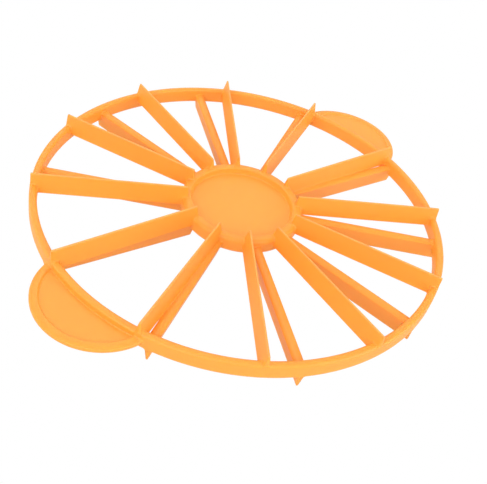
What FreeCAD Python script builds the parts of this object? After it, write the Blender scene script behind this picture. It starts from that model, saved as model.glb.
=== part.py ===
import FreeCAD, Part
import os

# Cake portion marker, moulded in one piece.
# A ring and a round hub are joined by two sets of wedge blades. One set stands up and the other
# hangs down, so that either side can be pressed into the top of a cake. Two D-shaped grips stand
# out of the ring.
# Frame: the origin is the hub's centre on the mid-plane, +X points through one grip, +Z is up.

# Driving dimensions in millimetres

# Ring. A draft is how far a wall leans over its height.
ring_radius = 132.5
ring_wall = 4.9
ring_height = 10.6
ring_draft = 0.1
ring_outer_chamfer = 0.8
ring_inner_chamfer = 1.3

# Hub: a thin web inside a thick rim
hub_radius = 39.0
hub_height = 10.6
hub_rim_width = 6.4
hub_web = 2.0
hub_outer_draft = 0.1
hub_inner_draft = 0.6
hub_outer_chamfer = 0.9
hub_inner_chamfer = 1.6
hub_floor_chamfer = 0.8

# Blades: a wedge with a narrow land at its tip and a crowned back
upper_blade_count = 12
lower_blade_count = 10
blade_depth = 12.5
blade_width = 6.1
blade_crown = 1.1
blade_land = 1.0
blade_edge_round = 0.3
blade_shoulder_round = 0.5
blade_inner_radius = 34.9
blade_inner_rake = 0.7
blade_corner_round = 0.9
blade_end_setback = 0.2

# Grips: a thin web inside a raised rim that slopes down to its outer edge
grip_reach = 159.5
grip_radius = 38.1
grip_web = 2.0
grip_edge = 2.0
grip_crest = 4.2
grip_rim_width = 5.3
grip_slope_width = 3.4
grip_step_draft = 0.5

X_AXIS = FreeCAD.Vector(1, 0, 0)
Z_AXIS = FreeCAD.Vector(0, 0, 1)
CENTRE = FreeCAD.Vector(0, 0, 0)
TOLERANCE = 1e-4


def section_points(profile):
    """Return points in the XZ plane from (x, z) pairs."""
    return [FreeCAD.Vector(x, 0, z) for x, z in profile]


def polygon_face(points):
    """Return the flat face inside a closed run of straight edges."""
    return Part.Face(Part.makePolygon(points + points[:1]))


def turned(face):
    """Return the solid that a face in the XZ plane sweeps in one turn about Z."""
    return face.revolve(CENTRE, Z_AXIS, 360)


def circles(solid, radius, height):
    """Return the full circles of this radius at plus and minus this height."""
    return [
        edge
        for edge in solid.Edges
        if isinstance(edge.Curve, Part.Circle)
        and abs(edge.Curve.Radius - radius) < TOLERANCE
        and abs(abs(edge.CenterOfMass.z) - height) < TOLERANCE
    ]


def straight_edges(solid, direction, height):
    """Return the straight edges at this height that run along the direction."""
    return [
        edge
        for edge in solid.Edges
        if isinstance(edge.Curve, Part.Line)
        and abs(edge.CenterOfMass.z - height) < TOLERANCE
        and abs(edge.Curve.Direction.dot(direction)) > 1 - TOLERANCE
    ]


def make_ring():
    """Return the ring, a drafted band with broken edges."""
    half = ring_height / 2
    inner = ring_radius - ring_wall
    outer_top = ring_radius - ring_draft
    inner_top = inner + ring_draft
    ring = turned(polygon_face(section_points([
        (ring_radius, 0), (outer_top, half), (inner_top, half),
        (inner, 0), (inner_top, -half), (outer_top, -half),
    ])))
    ring = ring.makeChamfer(ring_outer_chamfer, circles(ring, outer_top, half))
    return ring.makeChamfer(ring_inner_chamfer, circles(ring, inner_top, half))


def make_hub():
    """Return the hub, with the same recess on both sides."""
    half = hub_height / 2
    floor = hub_web / 2
    outer_top = hub_radius - hub_outer_draft
    inner_top = hub_radius - hub_rim_width
    foot = inner_top - hub_inner_draft
    hub = turned(polygon_face(section_points([
        (0, floor), (foot, floor), (inner_top, half), (outer_top, half), (hub_radius, 0),
        (outer_top, -half), (inner_top, -half), (foot, -floor), (0, -floor),
    ])))
    hub = hub.makeChamfer(hub_outer_chamfer, circles(hub, outer_top, half))
    hub = hub.makeChamfer(hub_inner_chamfer, circles(hub, inner_top, half))
    return hub.makeChamfer(hub_floor_chamfer, circles(hub, foot, floor))


def blade_section():
    """Return a blade's section in the YZ plane: tip up, shoulders on the mid-plane, back below."""
    half = blade_width / 2
    land = blade_land / 2
    tip_right = FreeCAD.Vector(0, land, blade_depth)
    tip_left = FreeCAD.Vector(0, -land, blade_depth)
    shoulder_right = FreeCAD.Vector(0, half, 0)
    shoulder_left = FreeCAD.Vector(0, -half, 0)
    back = FreeCAD.Vector(0, 0, -blade_crown)
    return Part.Face(Part.Wire([
        Part.makeLine(tip_left, tip_right),
        Part.makeLine(tip_right, shoulder_right),
        Part.Arc(shoulder_right, back, shoulder_left).toShape(),
        Part.makeLine(shoulder_left, tip_left),
    ]))


def make_blade():
    """Return one upward blade along +X, from over the hub's rim to the ring's outer wall."""
    root = hub_radius - hub_rim_width / 2
    end = ring_radius - blade_end_setback
    rim_top = hub_height / 2
    bar = blade_section().extrude(X_AXIS * (ring_radius + blade_width))
    bar = bar.makeFillet(blade_edge_round, straight_edges(bar, X_AXIS, blade_depth))
    bar = bar.makeFillet(blade_shoulder_round, straight_edges(bar, X_AXIS, 0))
    side = polygon_face(section_points([
        (root, -rim_top), (root, rim_top / 2), (blade_inner_radius, rim_top),
        (blade_inner_radius + blade_inner_rake, blade_depth), (end, blade_depth), (end, -rim_top),
    ]))
    side.translate(FreeCAD.Vector(0, -blade_width, 0))
    across = FreeCAD.Vector(0, 2 * blade_width, 0)
    side = side.extrude(across)
    side = side.makeFillet(blade_corner_round, straight_edges(side, across.normalize(), blade_depth))
    return bar.common(side)


def blade_set(count, faces_down):
    """Return equally spaced blades, with each grip midway between two of them."""
    blade = make_blade()
    if faces_down:
        blade = blade.rotated(CENTRE, X_AXIS, 180)
    step = 360 / count
    return [blade.rotated(CENTRE, Z_AXIS, step * (place + 0.5)) for place in range(count)]


def make_grip():
    """Return the +X grip: a round dish, cut off inside the ring's wall."""
    floor = grip_web / 2
    edge = grip_edge / 2
    crest = grip_crest / 2
    foot = grip_radius - grip_rim_width
    step = foot + grip_step_draft
    brow = grip_radius - grip_slope_width
    dish = turned(polygon_face(section_points([
        (0, floor), (foot, floor), (step, crest), (brow, crest), (grip_radius, edge),
        (grip_radius, -edge), (brow, -crest), (step, -crest), (foot, -floor), (0, -floor),
    ])))
    dish.translate(X_AXIS * (grip_reach - grip_radius))
    seat = ring_radius - ring_wall / 2
    return dish.cut(Part.makeCylinder(seat, ring_height, Z_AXIS * (-ring_height / 2)))


def make_marker():
    """Return the whole moulding as one solid."""
    grip = make_grip()
    return make_ring().multiFuse([
        make_hub(),
        grip,
        grip.rotated(CENTRE, Z_AXIS, 180),
        *blade_set(upper_blade_count, faces_down=False),
        *blade_set(lower_blade_count, faces_down=True),
    ])


os.makedirs("parts", exist_ok=True)
make_marker().exportStep("parts/portion_marker.step")
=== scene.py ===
"""A cake portion marker, moulded in one piece from orange plastic, on a white table.

The moulding is one skin. A ring, a hub, two grips and two sets of blades are worked out with numpy
as closed grids and joined by a union. Every point is then drawn onto one smooth surface, where the
distances to the parts are blended, so that fillets run along all the junctions and the edges are
rounded. Shapes are worked out in millimetres and put into the mesh in metres.
"""

import logging
import math
from dataclasses import dataclass
from enum import Enum

import bpy
import numpy as np
from mathutils import Matrix, Vector


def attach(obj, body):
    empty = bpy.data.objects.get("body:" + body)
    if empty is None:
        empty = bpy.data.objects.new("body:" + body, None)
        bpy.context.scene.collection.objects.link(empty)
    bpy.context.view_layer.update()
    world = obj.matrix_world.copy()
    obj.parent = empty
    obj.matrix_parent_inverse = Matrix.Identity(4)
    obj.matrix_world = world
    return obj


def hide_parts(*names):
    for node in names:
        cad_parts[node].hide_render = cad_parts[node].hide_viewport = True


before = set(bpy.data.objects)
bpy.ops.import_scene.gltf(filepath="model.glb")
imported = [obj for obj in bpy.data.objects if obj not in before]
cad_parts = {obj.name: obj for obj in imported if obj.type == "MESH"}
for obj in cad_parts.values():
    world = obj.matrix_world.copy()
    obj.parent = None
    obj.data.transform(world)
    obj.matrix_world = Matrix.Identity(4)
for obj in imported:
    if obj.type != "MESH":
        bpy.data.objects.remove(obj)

LOG = logging.getLogger("portion_marker")
NODE = "portion_marker"
BODY = "root"
PIECE = "moulded_marker"
MM = 0.001

# The picture's width in pixels
IMAGE_WIDTH = 487
# The radius of a corner that isn't rounded
SHARP = 0.0
# The least gap between gathered places, as a share of the spacing elsewhere
LEAST_GAP = 0.05
# The least length by which a slope is divided
LEAST_LENGTH = 1e-9
# A square's corners, in half widths from its centre
SQUARE = ((-1, -1), (1, -1), (1, 1), (-1, 1))

Array = np.ndarray


class Side(Enum):
    """The side of the marker that a set of blades stands on."""

    UP = 1.0
    DOWN = -1.0


@dataclass
class Shell:
    """A closed surface: its points in millimetres and its faces."""

    points: Array
    faces: list[tuple[int, ...]]

    def outward(self) -> "Shell":
        """Return the shell with its faces pointing outwards.

        The volume is the sum of the signed volumes of the pyramids from the origin to each face,
        cut into triangles from its first corner.

        Returns:
            The shell, or one with each face turned round where the volume is negative.
        """
        fans = np.array([
            (face[0], face[place], face[place + 1])
            for face in self.faces
            for place in range(1, len(face) - 1)
        ])
        first, second, third = (self.points[fans[:, side]] for side in range(3))
        volume = np.einsum("ij,ij->i", first, np.cross(second, third)).sum()
        if volume < 0:
            return Shell(self.points, [face[::-1] for face in self.faces])
        return self


def corner_arc(before: Array, corner: Array, after: Array, radius: float, steps: int) -> Array:
    """Return the arc that rounds a corner of a flat outline.

    The arc starts where it touches the first edge and turns by the corner's angle a: a point on it
    lies r sin(t) along that edge and r (1 - cos(t)) to its side, with t from 0 to a.

    Args:
        before: The point before the corner.
        corner: The corner.
        after: The point after the corner.
        radius: The arc's radius.
        steps: The number of points on the arc.

    Returns:
        The points, one a row.
    """
    ahead = (corner - before) / np.linalg.norm(corner - before)
    onward = (after - corner) / np.linalg.norm(after - corner)
    cross = ahead[0] * onward[1] - ahead[1] * onward[0]
    turn = math.atan2(abs(cross), float(ahead @ onward))
    aside = np.array([-ahead[1], ahead[0]]) * math.copysign(1.0, cross)
    start = corner - ahead * radius * math.tan(turn / 2)
    angle = np.linspace(0.0, turn, steps)[:, None]
    return start + radius * (np.sin(angle) * ahead + (1 - np.cos(angle)) * aside)


def rounded_outline(corners: list[tuple[float, float, float]], steps: int) -> Array:
    """Return a closed outline with an arc at each corner.

    Args:
        corners: Each corner's two coordinates and its radius, where 0 keeps it sharp.
        steps: The number of points on each arc.

    Returns:
        The outline's points, one a row, without the first repeated.
    """
    places = np.array([corner[:2] for corner in corners])
    runs = []
    for index, (*_, radius) in enumerate(corners):
        before, here, after = places[index - 1], places[index], places[(index + 1) % len(corners)]
        runs.append(corner_arc(before, here, after, radius, steps) if radius else here[None])
    return np.concatenate(runs)


def outline_distance(first: Array, second: Array, outline: Array) -> Array:
    """Return the signed distance from points to a closed flat outline.

    Each edge's nearest point is found by projecting onto the edge and keeping within its ends. A
    point is inside, with a negative distance, where a ray from it crosses the outline an odd number
    of times.

    Args:
        first: The points' first coordinate.
        second: Their second coordinate.
        outline: The outline's corners, one a row.

    Returns:
        The distances, which are negative inside the outline.
    """
    ends = np.roll(outline, -1, axis=0)
    nearest = np.full(first.shape, np.inf)
    crossings = np.zeros(first.shape, dtype=np.int64)
    for start, end in zip(outline, ends):
        edge = end - start
        away_first, away_second = first - start[0], second - start[1]
        share = np.clip((away_first * edge[0] + away_second * edge[1]) / (edge @ edge), 0.0, 1.0)
        gap = (away_first - share * edge[0]) ** 2 + (away_second - share * edge[1]) ** 2
        nearest = np.minimum(nearest, gap)
        if edge[1]:
            spans = (second < start[1]) != (second < end[1])
            crossings += spans & (away_first < edge[0] * away_second / edge[1])
    return np.sqrt(nearest) * np.where(crossings % 2 == 1, -1.0, 1.0)


def blended(first: Array, second: Array, reach: Array | float) -> Array:
    """Return the lesser of two distances, lowered where they are close, which fills a corner.

    Where they differ by less than the reach, q, the lesser drops by q/4 times the square of one
    minus that difference over q. The surface at zero then leaves both parts along their own planes.

    Args:
        first: The points' distances to the first part.
        second: Their distances to the second part.
        reach: The difference at which the blend ends.

    Returns:
        The distances to the two parts as one.
    """
    nearness = np.clip(1 - np.abs(first - second) / reach, 0.0, None)
    return np.minimum(first, second) - reach / 4 * nearness**2


def worn(first: Array, second: Array, reach: float) -> Array:
    """Return the greater of two distances, raised where they are close, which rounds an edge."""
    return -blended(-first, -second, reach)


def gathered(centres: Array, offsets: Array, coarse: float, low: float, high: float) -> Array:
    """Return sorted places that lie close together round some centres and evenly elsewhere.

    Args:
        centres: The places round which they gather.
        offsets: Their offsets from each centre.
        coarse: The spacing elsewhere.
        low: The first place.
        high: The last place.

    Returns:
        The places, without those that come too close to the one before.
    """
    close = (centres[:, None] + offsets).ravel()
    even = np.linspace(low, high, max(2, round((high - low) / coarse)) + 1)
    gap = np.abs(even[:, None] - close).min(axis=1)
    places = np.sort(np.concatenate([even[gap > coarse / 2], close]))
    places = places[(places >= low) & (places <= high)]
    return places[np.concatenate([[True], np.diff(places) > coarse * LEAST_GAP])]


def turned_about_z(points: Array, angle: Array | float) -> Array:
    """Return points turned about the vertical axis.

    Args:
        points: The points, whose last axis is X, Y and Z.
        angle: The angle in radians, one for all the points or one for each.

    Returns:
        The turned points, laid out as before.
    """
    cos, sin = np.cos(angle), np.sin(angle)
    x, y, z = points[..., 0], points[..., 1], points[..., 2]
    return np.stack([x * cos - y * sin, x * sin + y * cos, z + 0 * cos], axis=-1)


def skinned(loops: Array) -> Shell:
    """Return the shell over a run of closed loops.

    Neighbouring loops are joined by four-sided faces. In each loop of n points place k lies across
    from place n - 1 - k, and the two end loops are closed by faces from one half to the other.

    Args:
        loops: Points by loop and by place in the loop. Each loop has an even number of points.

    Returns:
        The closed shell, with its faces pointing outwards.
    """
    count, size = loops.shape[:2]
    half = size // 2
    index = np.arange(count * size).reshape(count, size)
    near, far = index[:-1], index[1:]
    sides = np.stack([near, far, np.roll(far, -1, axis=1), np.roll(near, -1, axis=1)], axis=-1)
    ends = []
    for loop, step in ((index[0], 1), (index[-1], -1)):
        right, left = loop[:half], loop[::-1][:half]
        cap = np.stack([right[:-1], right[1:], left[1:], left[:-1]], axis=-1)
        ends.append(cap[:, ::step])
    quads = np.concatenate([sides.reshape(-1, 4), *ends])
    return Shell(loops.reshape(-1, 3), [tuple(map(int, quad)) for quad in quads]).outward()


def turned_shell(profile: Array, azimuth: Array, closed: bool) -> Shell:
    """Return the shell that a profile sweeps in one turn about the vertical axis.

    Args:
        profile: Radius and height of each row.
        azimuth: The columns' angles in radians, through one turn.
        closed: Whether the profile is a closed loop. Otherwise it starts and ends on the axis.

    Returns:
        The closed shell, with its faces pointing outwards.
    """
    rows = profile if closed else profile[1:-1]
    radius, height = rows[:, :1], rows[:, 1:]
    x, y = radius * np.cos(azimuth), radius * np.sin(azimuth)
    points = np.stack([x, y, height + 0 * x], axis=-1).reshape(-1, 3)
    index = np.arange(len(rows) * len(azimuth)).reshape(len(rows), -1)
    above = index if closed else index[:-1]
    below = np.roll(index, -1, axis=0) if closed else index[1:]
    next_above, next_below = np.roll(above, -1, axis=1), np.roll(below, -1, axis=1)
    quads = np.stack([above, next_above, next_below, below], axis=-1)
    faces = [tuple(map(int, quad)) for quad in quads.reshape(-1, 4)]
    if not closed:
        top, bottom = len(points), len(points) + 1
        points = np.vstack([points, [(0, 0, profile[0, 1]), (0, 0, profile[-1, 1])]])
        first, last = index[0], index[-1]
        faces += [(top, int(after), int(here)) for here, after in zip(first, np.roll(first, -1))]
        faces += [(bottom, int(here), int(after)) for here, after in zip(last, np.roll(last, -1))]
    return Shell(points, faces).outward()


@dataclass(frozen=True)
class Ring:
    """The outer ring: a drafted band with rounded edges.

    A draft is how far a wall leans on its way up to its top, here and in the hub.
    """

    radius: float = 132.5
    wall: float = 4.9
    height: float = 10.6
    draft: float = 0.1
    outer_round: float = 1.9
    inner_round: float = 1.9
    steps: int = 6

    @property
    def inner_radius(self) -> float:
        """The inner wall's radius on the mid-plane."""
        return self.radius - self.wall

    @property
    def top(self) -> float:
        """The height of the ring's top."""
        return self.height / 2

    def outline(self) -> Array:
        """Return the section as radius and height."""
        outer = self.radius - self.draft
        inner = self.inner_radius + self.draft
        return rounded_outline([
            (self.radius, 0.0, SHARP),
            (outer, self.top, self.outer_round),
            (inner, self.top, self.inner_round),
            (self.inner_radius, 0.0, SHARP),
            (inner, -self.top, self.inner_round),
            (outer, -self.top, self.outer_round),
        ], self.steps)

    def rows(self, spacing: float) -> Array:
        """Return the section with points added along its edges.

        Args:
            spacing: The most that an edge may measure. On the outer wall, which the grips meet, it
                is half as much.

        Returns:
            Radius and height of each point, one a row.
        """
        outline = self.outline()
        runs = []
        for here, after in zip(outline, np.roll(outline, -1, axis=0)):
            on_wall = min(here[0], after[0]) > self.radius - self.draft
            most = spacing / 2 if on_wall else spacing
            count = math.ceil(np.linalg.norm(after - here) / most)
            runs.append(here + np.arange(count)[:, None] / count * (after - here))
        return np.concatenate(runs)

    def distance(self, points: Array) -> Array:
        """Return the signed distance to the ring."""
        return outline_distance(np.hypot(points[:, 0], points[:, 1]), points[:, 2], self.outline())


@dataclass(frozen=True)
class Hub:
    """The hub: a thin web inside a thick rim, the same on both sides."""

    radius: float = 39.0
    height: float = 10.6
    rim_width: float = 6.1
    web: float = 2.0
    outer_draft: float = 0.1
    inner_draft: float = 0.6
    outer_round: float = 2.6
    inner_round: float = 0.9
    floor_round: float = 1.0
    steps: int = 6

    @property
    def top(self) -> float:
        """The height of the rim's top."""
        return self.height / 2

    def outline(self) -> Array:
        """Return the section as radius and height, from the axis round the rim to the axis."""
        outer = self.radius - self.outer_draft
        inner = self.radius - self.rim_width
        foot = inner - self.inner_draft
        floor = self.web / 2
        upper = [
            (0.0, floor, SHARP),
            (foot / 3, floor, SHARP),
            (foot * 2 / 3, floor, SHARP),
            (foot, floor, self.floor_round),
            (inner, self.top, self.inner_round),
            (outer, self.top, self.outer_round),
            (outer + self.outer_draft / 2, self.top / 2, SHARP),
        ]
        lower = [(radius, -height, arc) for radius, height, arc in upper[::-1]]
        return rounded_outline([*upper, (self.radius, 0.0, SHARP), *lower], self.steps)

    def distance(self, points: Array) -> Array:
        """Return the signed distance to the hub."""
        return outline_distance(np.hypot(points[:, 0], points[:, 1]), points[:, 2], self.outline())


@dataclass(frozen=True)
class BladeSet:
    """Equally spaced wedge blades on one side, each with a narrow land and a crowned back.

    A blade is its section repeated at stations along it. The section's rows and the stations gather
    where the blade meets the hub and the ring. Some gather in units of the reach, which is about
    how far a fillet spreads.
    """

    side: Side
    count: int
    hub: Hub
    ring: Ring
    depth: float = 12.5
    width: float = 6.1
    crown: float = 1.1
    land: float = 1.0
    tip_round: float = 0.38
    shoulder_round: float = 0.5
    inner_radius: float = 34.95
    inner_rake: float = 0.7
    corner_round: float = 0.9
    end_wear: float = 0.9
    end_setback: float = 0.16
    root_setback: float = 1.3
    root_clear: float = 0.7
    reach: float = 1.1
    shift_span: float = 3.0
    arc_steps: int = 4
    back_steps: int = 5
    back_share: float = 0.84
    tip_rows: tuple[float, ...] = (0.7, 1.1)
    middle_row: float = 0.72
    rim_rows: tuple[float, ...] = (1.0, 0.7, 0.4, 0.15, -0.15, -0.5, -1.0, -1.6)
    foot_rows: tuple[float, ...] = (2.4, 1.5, 0.95)
    end_stations: tuple[float, ...] = (0.0, 0.08, 0.25, 0.5, 0.8, 1.2)
    wall_stations: tuple[float, ...] = (-1.0, -0.65, -0.3, 0.0, 0.3, 0.65, 1.0)
    in_hub: tuple[float, ...] = (-2.2, -1.6)
    in_ring: tuple[float, ...] = (1.7, 2.4, 3.1)
    open_start: float = 4.0
    open_end: float = 28.0
    open_steps: int = 8
    paired_start: float = 24.0
    paired_end: float = 2.5
    paired_steps: int = 9

    @property
    def step(self) -> float:
        """The angle from one blade to the next, in radians."""
        return 2 * math.pi / self.count

    @property
    def azimuths(self) -> Array:
        """The blades' angles in radians. A grip lies midway between two blades."""
        return self.step * (np.arange(self.count) + 0.5)

    def half_width(self, height: Array) -> Array:
        """Return half the thickness at a height on the flank, which is a straight taper."""
        return self.width / 2 + (self.land - self.width) / 2 * height / self.depth

    def half_section(self) -> Array:
        """Return the right half of the section, from the tip down to the back.

        It is the tip's land and arc, the flank, the shoulder's arc, and the back: a circle through
        both shoulders and the crown, of which the shoulders' arcs leave a share. The flank's rows
        gather at the tip's corner, in units of the corner's round below the tip, at the hub rim's
        top, in units of the reach above it, and at the foot, as heights. One lies between, at a
        share of the depth.

        Returns:
            How far each point lies across the blade and its height, one a row.
        """
        half = self.width / 2
        back_radius = (half**2 + self.crown**2) / (2 * self.crown)
        swing = math.asin(half / back_radius) * self.back_share
        swing = np.linspace(swing, 0.0, self.back_steps)
        back = np.column_stack([
            back_radius * np.sin(swing),
            back_radius * (1 - np.cos(swing)) - self.crown,
        ])
        middle = np.array([0.0, self.depth])
        tip, shoulder = np.array([self.land / 2, self.depth]), np.array([half, 0.0])
        rows = np.concatenate([
            self.depth - self.corner_round * np.array(self.tip_rows),
            [self.depth * self.middle_row],
            self.hub.top + self.reach * np.array(self.rim_rows),
            self.foot_rows,
        ])
        return np.concatenate([
            [(self.land / 8, self.depth)],
            corner_arc(middle, tip, shoulder, self.tip_round, self.arc_steps),
            np.column_stack([self.half_width(rows), rows]),
            corner_arc(tip, shoulder, back[0], self.shoulder_round, self.arc_steps),
            back[:-1],
            [(self.land / 8, -self.crown)],
        ])

    def section(self) -> Array:
        """Return the whole section as a closed loop, right half then left half."""
        right = self.half_section()
        return np.concatenate([right, (right * [-1, 1])[::-1]])

    def ends(self, height: Array) -> tuple[Array, Array]:
        """Return where the blade starts and stops along X.

        Both ends stand back below the rim's top, where they are sunk in the hub and the ring. Above
        it the inner end leans outwards, and at the tip both follow the corner's round.

        Args:
            height: The heights, positive towards the tip.

        Returns:
            The start and the stop at each height.
        """
        rim = self.hub.top
        lean = self.inner_rake * np.clip((height - rim) / (self.depth - rim), 0.0, 1.0)
        sunk = np.clip(rim - self.root_clear - height, 0.0, self.root_setback)
        above = np.clip(height - (self.depth - self.corner_round), 0.0, self.corner_round)
        fall = self.corner_round - np.sqrt(self.corner_round**2 - above**2)
        start = self.inner_radius + lean + sunk + fall
        stop = self.ring.radius - self.end_setback - sunk - fall
        return start, stop

    def side_outline(self) -> Array:
        """Return the outline seen from the side.

        It runs past the tip and the back, which the section gives.

        Returns:
            Place along X and height of each corner, one a row.
        """
        rim = self.hub.top
        clear = rim - self.root_clear
        foot = clear - self.root_setback
        height = np.array([-self.depth, foot, clear, rim, 2 * self.depth])
        lean = self.inner_rake * np.clip((height - rim) / (self.depth - rim), 0.0, None)
        sunk = self.root_setback * (height <= foot)
        start = self.inner_radius + lean + sunk
        stop = self.ring.radius - self.end_setback - sunk
        inner, outer = (np.column_stack([place, height]) for place in (start, stop))
        return np.concatenate([inner, outer[::-1]])

    def stations(self) -> Array:
        """Return the places of the loops along the blade.

        They gather at both ends and at the walls of the hub and the ring. The span between the
        walls has an open stretch and then a paired one, with closer stations, where an upper and a
        lower blade can run side by side. The open stretch starts past the hub's wall. Its end, and both
        ends of the paired one, are measured back from the ring's.

        Returns:
            The places along X, not in order.
        """
        _, stop = self.ends(np.array([self.hub.top]))
        end = np.array(self.end_stations)
        gather = self.reach * np.array(self.wall_stations)
        hub, ring = self.hub.radius, self.ring.inner_radius
        return np.concatenate([
            self.inner_radius + end,
            hub + np.array(self.in_hub),
            hub + gather,
            np.linspace(hub + self.open_start, ring - self.open_end, self.open_steps),
            np.linspace(ring - self.paired_start, ring - self.paired_end, self.paired_steps),
            ring + gather,
            ring + np.array(self.in_ring),
            stop[0] - end[::-1],
        ])

    def shell(self) -> Shell:
        """Return the set's surface, one closed grid a blade.

        A loop is the section at one station. Near an end its points shift along X, by a share that
        grows evenly to one at the end, to where the blade starts or stops at each one's height.

        Returns:
            The blades as one shell.
        """
        loop = self.section()
        start, stop = self.ends(loop[:, 1])
        first, last = self.ends(np.array([self.hub.top]))
        station = np.sort(self.stations())[:, None]
        near = np.clip(1 - (station - first) / self.shift_span, 0.0, 1.0)
        far = np.clip(1 - (last - station) / self.shift_span, 0.0, 1.0)
        x = station + near * (start - first) + far * (stop - last)
        y = np.broadcast_to(loop[:, 0], x.shape)
        z = np.broadcast_to(loop[:, 1] * self.side.value, x.shape)
        blade = np.stack([x, y, z], axis=-1)
        return joined([skinned(turned_about_z(blade, angle)) for angle in self.azimuths])

    def distance(self, points: Array) -> Array:
        """Return the signed distance to the nearest blade.

        A point is turned to the nearest blade's own frame. There the blade is what its section, run
        along X, shares with its side outline, run across, with worn edges between the two.

        Args:
            points: The points, one a row.

        Returns:
            The distances, one a point.
        """
        azimuth = np.arctan2(points[:, 1], points[:, 0])
        turn = (np.floor(azimuth / self.step) + 0.5) * self.step
        local = turned_about_z(points, -turn)
        height = local[:, 2] * self.side.value
        across = outline_distance(local[:, 1], height, self.section())
        along = outline_distance(local[:, 0], height, self.side_outline())
        return worn(across, along, self.end_wear)


@dataclass(frozen=True)
class Grip:
    """A D-shaped grip: a thin web inside a raised rim that curves down to its edge.

    Its shape is part of a round dish, whose centre lies inside the ring.
    """

    ring: Ring
    turn: float
    reach: float = 159.5
    radius: float = 38.1
    web: float = 2.0
    edge: float = 1.2
    crest: float = 4.2
    rim_width: float = 5.3
    slope_width: float = 3.8
    step_draft: float = 0.8
    slope_start: float = 0.35
    step_round: float = 0.35
    swing: float = math.radians(85.0)
    fillet: float = 1.0
    arc_steps: int = 4
    slope_steps: int = 9
    column_spacing: float = 2.1
    close_spacing: float = 0.85
    close_before: float = 11.0
    close_after: float = 1.2
    fillet_rows: tuple[float, ...] = (-0.6, -0.2, 0.1, 0.35, 0.65, 1.0)
    web_steps: int = 5

    @property
    def centre(self) -> float:
        """How far the grip's own centre lies from the ring's."""
        return self.reach - self.radius

    @property
    def seat(self) -> float:
        """The radius inside the ring's wall at which the grip starts."""
        return self.ring.radius - self.ring.wall / 2

    def half_profile(self) -> Array:
        """Return the upper half of the section, from the web out to the edge.

        The step has a small arc at its foot and brow. From the crest an arc of an ellipse runs down
        to the edge. It covers the ellipse's angles from the slope's start, where it dips already,
        to a right angle, where it stands upright.

        Returns:
            Distance from the grip's own centre and height of each point, one a row.
        """
        floor, top = self.web / 2, self.crest / 2
        foot = self.radius - self.rim_width
        step, brow = foot + self.step_draft, self.radius - self.slope_width
        angle = np.linspace(self.slope_start, math.pi / 2, self.slope_steps)
        out = (np.sin(angle) - math.sin(self.slope_start)) / (1 - math.sin(self.slope_start))
        fall = np.cos(angle) / math.cos(self.slope_start)
        slope = np.column_stack([
            brow + self.slope_width * out,
            self.edge / 2 + (top - self.edge / 2) * fall,
        ])
        low, high = np.array([foot, floor]), np.array([step, top])
        return np.concatenate([
            corner_arc(np.array([0.0, floor]), low, high, self.step_round, self.arc_steps),
            corner_arc(low, high, slope[0], self.step_round, self.arc_steps),
            slope,
        ])

    def shell(self) -> Shell:
        """Return the grip's surface.

        A column runs outwards from the ring's centre, at an angle a. It meets a circle of radius r
        about the grip's centre, at distance c, where its length is c cos(a) + sqrt(r^2 - c^2
        sin(a)^2). The web's rows follow the ring's wall, and the rim's rows follow such circles.
        The columns are spaced by the turn about the grip's centre, and gather where the grip's edge
        meets the ring's wall.

        Returns:
            The closed shell, turned to its place on the ring.
        """
        wall = self.ring.radius**2 - self.centre**2 - self.radius**2
        meeting = math.acos(wall / (2 * self.centre * self.radius))
        close = np.arange(-self.close_before, self.close_after, self.close_spacing) / self.radius
        coarse = self.column_spacing / self.radius
        half = gathered(np.array([meeting]), -close, coarse, 0.0, self.swing)
        swing = np.concatenate([-half[:0:-1], half])
        azimuth = np.arctan2(self.radius * np.sin(swing), self.centre + self.radius * np.cos(swing))
        profile = self.half_profile()
        under = profile[:, 0] ** 2 - (self.centre * np.sin(azimuth)[:, None]) ** 2
        rim = self.centre * np.cos(azimuth)[:, None] + np.sqrt(np.clip(under, 0.0, None))
        rim = np.maximum(np.where(under > 0, rim, 0.0), self.seat)
        near = self.ring.radius + self.fillet * np.array(self.fillet_rows)
        share = np.linspace(0.0, 1.0, self.web_steps)[1:-1]
        far = near[-1] + share * (rim[:, :1] - near[-1])
        seat = np.full_like(far[:, :1], self.seat)
        web = np.concatenate([seat, near + 0 * seat, far], axis=1)
        length = np.concatenate([np.clip(web, self.seat, rim[:, :1]), rim], axis=1)
        x, y = length * np.cos(azimuth)[:, None], length * np.sin(azimuth)[:, None]
        height = np.interp(np.hypot(x - self.centre, y), profile[:, 0], profile[:, 1])
        upper = np.stack([x, y, height], axis=-1)
        lower = upper[:, ::-1] * [1, 1, -1]
        return skinned(turned_about_z(np.concatenate([upper, lower], axis=1), self.turn))

    def distance(self, points: Array) -> Array:
        """Return the signed distance to the grip.

        It is the dish, as far as it lies outside its seat in the ring.

        Args:
            points: The points, one a row.

        Returns:
            The distances, one a point.
        """
        local = turned_about_z(points, -self.turn)
        own = np.hypot(local[:, 0] - self.centre, local[:, 1])
        upper = np.vstack([(0.0, self.web / 2), self.half_profile()])
        outline = np.concatenate([upper, (upper * [1, -1])[::-1]])
        inside = self.seat - np.hypot(local[:, 0], local[:, 1])
        return np.maximum(outline_distance(own, local[:, 2], outline), inside)


def joined(shells: list[Shell]) -> Shell:
    """Return several shells as one.

    Args:
        shells: The shells.

    Returns:
        One shell with all their points and faces, in their order.
    """
    points, faces, start = [], [], 0
    for shell in shells:
        points.append(shell.points)
        faces += [tuple(index + start for index in face) for face in shell.faces]
        start += len(shell.points)
    return Shell(np.concatenate(points), faces)


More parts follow.
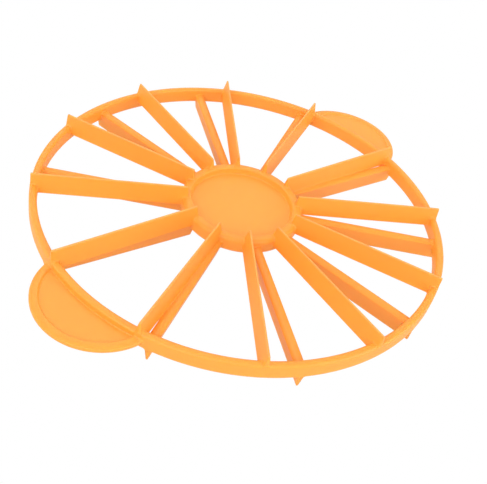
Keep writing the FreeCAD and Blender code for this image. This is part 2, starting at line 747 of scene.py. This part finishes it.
def mesh_object(name: str, shell: Shell) -> bpy.types.Object:
    """Put a shell into a new mesh, in metres.

    Args:
        name: The name of the mesh and of its object.
        shell: The shell, in millimetres.

    Returns:
        The mesh's object, at the origin.
    """
    mesh = bpy.data.meshes.new(name)
    mesh.from_pydata((shell.points * MM).tolist(), [], shell.faces)
    mesh.update()
    piece = bpy.data.objects.new(name, mesh)
    bpy.context.scene.collection.objects.link(piece)
    return piece


@dataclass(frozen=True)
class Plastic:
    """Satin orange plastic, coloured through and slightly translucent.

    The scales count a noise's waves in a metre. The heights of the tips' painted highlight,
    the depths that the red, green and blue light reach under the skin, and the bump's depth are in
    millimetres.
    """

    name: str = "satin_orange_plastic"
    colour: tuple[float, float, float] = (0.97, 0.374, 0.0430)
    deeper: tuple[float, float, float] = (0.96, 0.364, 0.0415)
    # Painted highlight: a lighter tint on the blades' tips, fading in between the two tip heights below
    tip_highlight_colour: tuple[float, float, float] = (0.90, 0.40, 0.085)
    tip_start: float = 11.4
    tip_end: float = 12.4
    cloud_scale: float = 18.0
    cloud_detail: float = 3.0
    grain_scale: float = 1400.0
    grain_detail: float = 2.0
    roughness: float = 0.42
    rougher: float = 0.5
    bump_strength: float = 0.03
    bump_depth: float = 0.06
    bending: float = 1.48
    under_skin: float = 0.3
    depths: tuple[float, float, float] = (3.0, 0.6, 0.15)

    def noise(
        self, tree: bpy.types.NodeTree, place: bpy.types.NodeSocket, scale: float, detail: float
    ) -> bpy.types.NodeSocket:
        """Add a noise.

        Args:
            tree: The material's nodes.
            place: The place on the piece.
            scale: The noise's scale.
            detail: Its detail.

        Returns:
            Its strength at the place.
        """
        noise = tree.nodes.new("ShaderNodeTexNoise")
        noise.inputs["Scale"].default_value = scale
        noise.inputs["Detail"].default_value = detail
        tree.links.new(place, noise.inputs["Vector"])
        return noise.outputs["Fac"]

    def shade(
        self, tree: bpy.types.NodeTree, place: bpy.types.NodeSocket
    ) -> bpy.types.NodeSocket:
        """Add the colour: a faint cloud of two shades, and a painted highlight on the thin tips.

        Args:
            tree: The material's nodes.
            place: The place on the piece.

        Returns:
            The colour at the place.
        """
        tint = tree.nodes.new("ShaderNodeMix")
        tint.data_type = "RGBA"
        tint.inputs["A"].default_value = (*self.colour, 1.0)
        tint.inputs["B"].default_value = (*self.deeper, 1.0)
        cloud = self.noise(tree, place, self.cloud_scale, self.cloud_detail)
        tree.links.new(cloud, tint.inputs["Factor"])
        # Painted highlight on the blades' tips: the colour turns to a lighter tint with height near
        # either tip
        height = tree.nodes.new("ShaderNodeSeparateXYZ")
        tree.links.new(place, height.inputs["Vector"])
        either = tree.nodes.new("ShaderNodeMath")
        either.operation = "ABSOLUTE"
        tree.links.new(height.outputs["Z"], either.inputs[0])
        tip_highlight_mask = tree.nodes.new("ShaderNodeMapRange")
        tip_highlight_mask.inputs["From Min"].default_value = self.tip_start * MM
        tip_highlight_mask.inputs["From Max"].default_value = self.tip_end * MM
        tree.links.new(either.outputs["Value"], tip_highlight_mask.inputs["Value"])
        thin = tree.nodes.new("ShaderNodeMix")
        thin.data_type = "RGBA"
        thin.inputs["B"].default_value = (*self.tip_highlight_colour, 1.0)
        tree.links.new(tip_highlight_mask.outputs["Result"], thin.inputs["Factor"])
        tree.links.new(tint.outputs["Result"], thin.inputs["A"])
        return thin.outputs["Result"]

    def material(self) -> bpy.types.Material:
        """Make the material. A fine grain varies its roughness and gives it a faint bump.

        Returns:
            The material.
        """
        material = bpy.data.materials.new(self.name)
        material.use_nodes = True
        tree = material.node_tree
        shader = tree.nodes["Principled BSDF"]
        place = tree.nodes.new("ShaderNodeTexCoord").outputs["Object"]
        tree.links.new(self.shade(tree, place), shader.inputs["Base Color"])
        grain = self.noise(tree, place, self.grain_scale, self.grain_detail)
        satin = tree.nodes.new("ShaderNodeMapRange")
        satin.inputs["To Min"].default_value = self.roughness
        satin.inputs["To Max"].default_value = self.rougher
        tree.links.new(grain, satin.inputs["Value"])
        tree.links.new(satin.outputs["Result"], shader.inputs["Roughness"])
        bump = tree.nodes.new("ShaderNodeBump")
        bump.inputs["Strength"].default_value = self.bump_strength
        bump.inputs["Distance"].default_value = self.bump_depth * MM
        tree.links.new(grain, bump.inputs["Height"])
        tree.links.new(bump.outputs["Normal"], shader.inputs["Normal"])
        shader.inputs["IOR"].default_value = self.bending
        shader.inputs["Subsurface Weight"].default_value = self.under_skin
        shader.inputs["Subsurface Radius"].default_value = self.depths
        shader.inputs["Subsurface Scale"].default_value = MM
        return material


@dataclass(frozen=True)
class Marker:
    """The whole moulding.

    The blades' fillets fade near the ring. Up to the parting an upper and a lower blade that lie
    close together are one, and past it there is a slit between them, which a fillet would fill.
    """

    ring: Ring
    hub: Hub
    grips: tuple[Grip, Grip]
    upper: BladeSet
    lower: BladeSet
    plastic: Plastic
    wall_fillet: float = 1.0
    blade_fillet: float = 0.9
    parting: float = 116.0
    fade_span: float = 12.0
    least_fading: float = 0.05
    rim_wear: float = 0.25
    row_spacing: float = 1.4
    column_spacing: float = 4.0
    close_columns: tuple[float, ...] = (0.0, 0.45, 0.9, 1.3, 1.7, 2.1, 2.5, 2.9, 3.3, 3.7, 4.2)
    hub_columns: int = 480
    draws: int = 4
    probe: float = 0.06
    least_slope: float = 0.5

    def parts(self) -> dict[str, Shell]:
        """Return the surfaces that the moulding is joined from.

        The ring's columns gather where the blades meet it. The hub's are even and close.

        Returns:
            Each part's shell by its name.
        """
        blades = np.sort(np.concatenate([self.upper.azimuths, self.lower.azimuths]))
        offsets = np.array(self.close_columns)
        offsets = np.concatenate([-offsets, offsets]) / self.ring.radius
        coarse = self.column_spacing / self.ring.radius
        azimuth = gathered(blades, offsets, coarse, 0.0, 2 * math.pi)[:-1]
        even = np.linspace(0.0, 2 * math.pi, self.hub_columns, endpoint=False)
        return {
            "ring": turned_shell(self.ring.rows(self.row_spacing), azimuth, closed=True),
            "hub": turned_shell(self.hub.outline(), even, closed=False),
            "upper_blades": self.upper.shell(),
            "lower_blades": self.lower.shell(),
            "near_grip": self.grips[0].shell(),
            "far_grip": self.grips[1].shell(),
        }

    def distance(self, points: Array) -> Array:
        """Return the signed distance to the whole moulding.

        The blades are blended with each other, then with the ring and the hub, and last with the
        grips. The ring's outer wall cuts off what stands past it, with a small round.

        Args:
            points: The points, one a row.

        Returns:
            The distances, one a point.
        """
        walls = np.minimum(self.ring.distance(points), self.hub.distance(points))
        out = np.hypot(points[:, 0], points[:, 1])
        fading = np.clip((self.parting - out) / self.fade_span, self.least_fading, 1.0)
        upper, lower = self.upper.distance(points), self.lower.distance(points)
        blades = blended(upper, lower, self.blade_fillet * fading)
        wheel = blended(walls, blades, self.wall_fillet)
        wheel = worn(wheel, out - self.ring.radius, self.rim_wear)
        for grip in self.grips:
            wheel = blended(wheel, grip.distance(points), grip.fillet)
        return wheel

    def slope(self, points: Array) -> Array:
        """Return the way in which the distance grows.

        Along each axis it is the difference of the distances a small step ahead and a small step
        back, over the length between the two.

        Args:
            points: The points, one a row.

        Returns:
            The slopes along X, Y and Z, one point a row.
        """
        steps = np.eye(3) * self.probe
        parts = [self.distance(points + step) - self.distance(points - step) for step in steps]
        return np.column_stack(parts) / (2 * self.probe)

    def drawn(self, points: Array) -> tuple[Array, Array]:
        """Return points drawn onto the blended surface, and the surface's normals there.

        Each draw moves a point back along the slope by the distance over the slope's length.

        Args:
            points: Points near the surface, one a row.

        Returns:
            The drawn points and the normals, one a row.
        """
        for _ in range(self.draws):
            slope = self.slope(points)
            steep = np.maximum((slope**2).sum(axis=1, keepdims=True), self.least_slope**2)
            points = points - self.distance(points)[:, None] * slope / steep
        slope = self.slope(points)
        length = np.linalg.norm(slope, axis=1, keepdims=True)
        return points, slope / np.maximum(length, LEAST_LENGTH)

    def joined_parts(self) -> bpy.types.Object:
        """Join the parts by a union.

        Returns:
            The one piece, at the origin.
        """
        parts = {name: mesh_object(name, shell) for name, shell in self.parts().items()}
        for name, part in parts.items():
            LOG.info("%s: %d points", name, len(part.data.vertices))
        skin = parts.pop("ring")
        skin.name = PIECE
        for name, part in parts.items():
            union = skin.modifiers.new(name, "BOOLEAN")
            union.operation = "UNION"
            union.solver = "MANIFOLD"
            union.object = part
        view = bpy.context.evaluated_depsgraph_get()
        mesh = bpy.data.meshes.new_from_object(skin.evaluated_get(view))
        mesh.name = PIECE
        skin.modifiers.clear()
        skin.data = mesh
        for part in parts.values():
            bpy.data.objects.remove(part)
        return skin

    def build(self) -> bpy.types.Object:
        """Build the moulding, dress it and let it ride on its body.

        Returns:
            The one piece.
        """
        skin = self.joined_parts()
        self.smooth(skin.data)
        skin.data.materials.clear()
        skin.data.materials.append(self.plastic.material())
        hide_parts(NODE)
        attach(skin, BODY)
        return skin

    def smooth(self, mesh: bpy.types.Mesh) -> None:
        """Draw the mesh onto the blended surface and give it that surface's normals.

        Args:
            mesh: The joined parts' mesh, in metres.
        """
        places = np.empty(len(mesh.vertices) * 3)
        mesh.vertices.foreach_get("co", places)
        points, normals = self.drawn(places.reshape(-1, 3) / MM)
        mesh.vertices.foreach_set("co", (points * MM).ravel())
        mesh.update()
        mesh.shade_smooth()
        mesh.normals_split_custom_set_from_vertices(normals.tolist())


def direction(azimuth: float, elevation: float) -> Vector:
    """Return the unit vector at an azimuth and an elevation, both in radians."""
    level = math.cos(elevation)
    return Vector((level * math.cos(azimuth), level * math.sin(azimuth), math.sin(elevation)))


@dataclass(frozen=True)
class Lamp:
    """A soft light from far away: its direction in degrees and its strength."""

    name: str
    azimuth: float
    elevation: float
    strength: float
    softness: float = 50.0

    def build(self) -> bpy.types.Object:
        """Set up the lamp, turned to shine from its direction.

        Returns:
            The lamp.
        """
        data = bpy.data.lights.new(self.name, "SUN")
        data.angle = math.radians(self.softness)
        data.energy = self.strength
        lamp = bpy.data.objects.new(self.name, data)
        towards = direction(math.radians(self.azimuth), math.radians(self.elevation))
        lamp.rotation_euler = towards.to_track_quat("Z", "Y").to_euler()
        bpy.context.scene.collection.objects.link(lamp)
        return lamp


@dataclass(frozen=True)
class Studio:
    """A white table under soft light, seen as in a catalogue picture.

    The camera stands at a distance in millimetres. Its focal length and shifts are in the picture's
    pixels.
    """

    table_height: float = -12.5
    table_size: float = 6000.0
    table_white: float = 0.3
    table_roughness: float = 0.9
    sheet_gap: float = 0.1
    azimuth: float = math.radians(31.613)
    elevation: float = math.radians(41.780)
    roll: float = math.radians(13.352)
    distance: float = 490.59
    off_right: float = 11.755
    off_down: float = -22.273
    focal_pixels: float = 762.17
    shift_right: float = 20.92
    shift_up: float = -0.94
    sensor: float = 36.0
    nearest: float = 0.01
    farthest: float = 50.0
    sky: float = 0.286
    glow: float = 0.536
    lamps: tuple[Lamp, ...] = (
        Lamp("near_wall", 0.0, 12.0, 0.63),
        Lamp("right_wall", 108.0, 12.0, 1.73),
        Lamp("far_wall", 180.0, 12.0, 0.37),
        Lamp("left_wall", 288.0, 12.0, 0.95),
        Lamp("near_panel", 0.0, 40.0, 1.04),
        Lamp("front_panel", 45.0, 40.0, 0.57),
        Lamp("right_panel", 90.0, 40.0, 0.34),
        Lamp("back_panel", 225.0, 40.0, 0.47),
        Lamp("back_roof", 225.0, 67.0, 0.50),
    )

    def camera(self) -> bpy.types.Object:
        """Set up the camera.

        It looks along a line from its azimuth and elevation, rolls about that line, and stands so
        that the marker's centre is off its axis by two small lengths.

        Returns:
            The camera.
        """
        data = bpy.data.cameras.new("camera")
        data.sensor_width = self.sensor
        data.lens = self.focal_pixels * self.sensor / IMAGE_WIDTH
        data.shift_x = self.shift_right / IMAGE_WIDTH
        data.shift_y = self.shift_up / IMAGE_WIDTH
        data.clip_start = self.nearest
        data.clip_end = self.farthest
        back = direction(self.azimuth, self.elevation)
        level = (-back).cross(Vector((0, 0, 1))).normalized()
        drop = (-back).cross(level)
        right = math.cos(self.roll) * level - math.sin(self.roll) * drop
        down = math.sin(self.roll) * level + math.cos(self.roll) * drop
        place = (back * self.distance - right * self.off_right - down * self.off_down) * MM
        turn = Matrix((right, -down, back)).transposed()
        camera = bpy.data.objects.new("camera", data)
        camera.matrix_world = Matrix.Translation(place) @ turn.to_4x4()
        bpy.context.scene.collection.objects.link(camera)
        bpy.context.scene.camera = camera
        return camera

    def sheet(
        self, name: str, height: float, white: float, glow: float, walls: bool = False
    ) -> bpy.types.Object:
        """Set a wide level sheet, or a room of such sheets.

        Args:
            name: The sheet's name.
            height: Its height.
            white: How much light it throws back.
            glow: How much light it gives of its own.
            walls: Whether walls and a ceiling close it to a room.

        Returns:
            The sheet.
        """
        half = self.table_size / 2
        points = np.array([(x * half, y * half, height) for x, y in SQUARE])
        faces = [(0, 1, 2, 3)]
        if walls:
            points = np.vstack([points, points + [0, 0, self.table_size]])
            faces += [(0, 1, 5, 4), (1, 2, 6, 5), (2, 3, 7, 6), (3, 0, 4, 7), (4, 5, 6, 7)]
        sheet = mesh_object(name, Shell(points, faces))
        material = bpy.data.materials.new(name)
        material.use_nodes = True
        shader = material.node_tree.nodes["Principled BSDF"]
        shader.inputs["Base Color"].default_value = (white, white, white, 1.0)
        shader.inputs["Roughness"].default_value = self.table_roughness
        shader.inputs["Specular IOR Level"].default_value = 0.0
        shader.inputs["Emission Color"].default_value = (1.0, 1.0, 1.0, 1.0)
        shader.inputs["Emission Strength"].default_value = glow
        sheet.data.materials.append(material)
        return sheet

    def table(self) -> None:
        """Set the table under the blades' tips, as two sheets.

        The camera sees a plain white one, in a white room. The marker is lit and shaded by a dimmer
        one just below it.
        """
        seen = self.sheet("white_table", self.table_height, white=0.0, glow=1.0, walls=True)
        seen.visible_diffuse = seen.visible_glossy = False
        seen.visible_transmission = seen.visible_shadow = False
        below = self.table_height - self.sheet_gap
        shading = self.sheet("table_light", below, self.table_white, self.glow)
        shading.visible_camera = False

    def lights(self) -> None:
        """Light the marker as in a light tent, from all round and mostly from the sides."""
        world = bpy.data.worlds.new("studio")
        world.use_nodes = True
        sky = world.node_tree.nodes["Background"]
        sky.inputs["Color"].default_value = (1.0, 1.0, 1.0, 1.0)
        sky.inputs["Strength"].default_value = self.sky
        bpy.context.scene.world = world
        for lamp in self.lamps:
            lamp.build()

    def build(self) -> None:
        """Set up the table, the light, the camera and plain output colours."""
        self.table()
        self.lights()
        self.camera()
        bpy.context.scene.view_settings.view_transform = "Standard"


def main() -> None:
    """Build the marker, then the studio round it."""
    logging.basicConfig(level=logging.INFO, format="%(name)s: %(message)s")
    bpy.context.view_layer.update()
    ring, hub = Ring(), Hub()
    marker = Marker(
        ring=ring,
        hub=hub,
        grips=(Grip(ring, turn=0.0), Grip(ring, turn=math.pi)),
        upper=BladeSet(Side.UP, count=12, hub=hub, ring=ring),
        lower=BladeSet(Side.DOWN, count=10, hub=hub, ring=ring),
        plastic=Plastic(),
    )
    skin = marker.build()
    LOG.info("%s: %d faces", skin.name, len(skin.data.polygons))
    Studio().build()


if __name__ == "__main__":
    main()
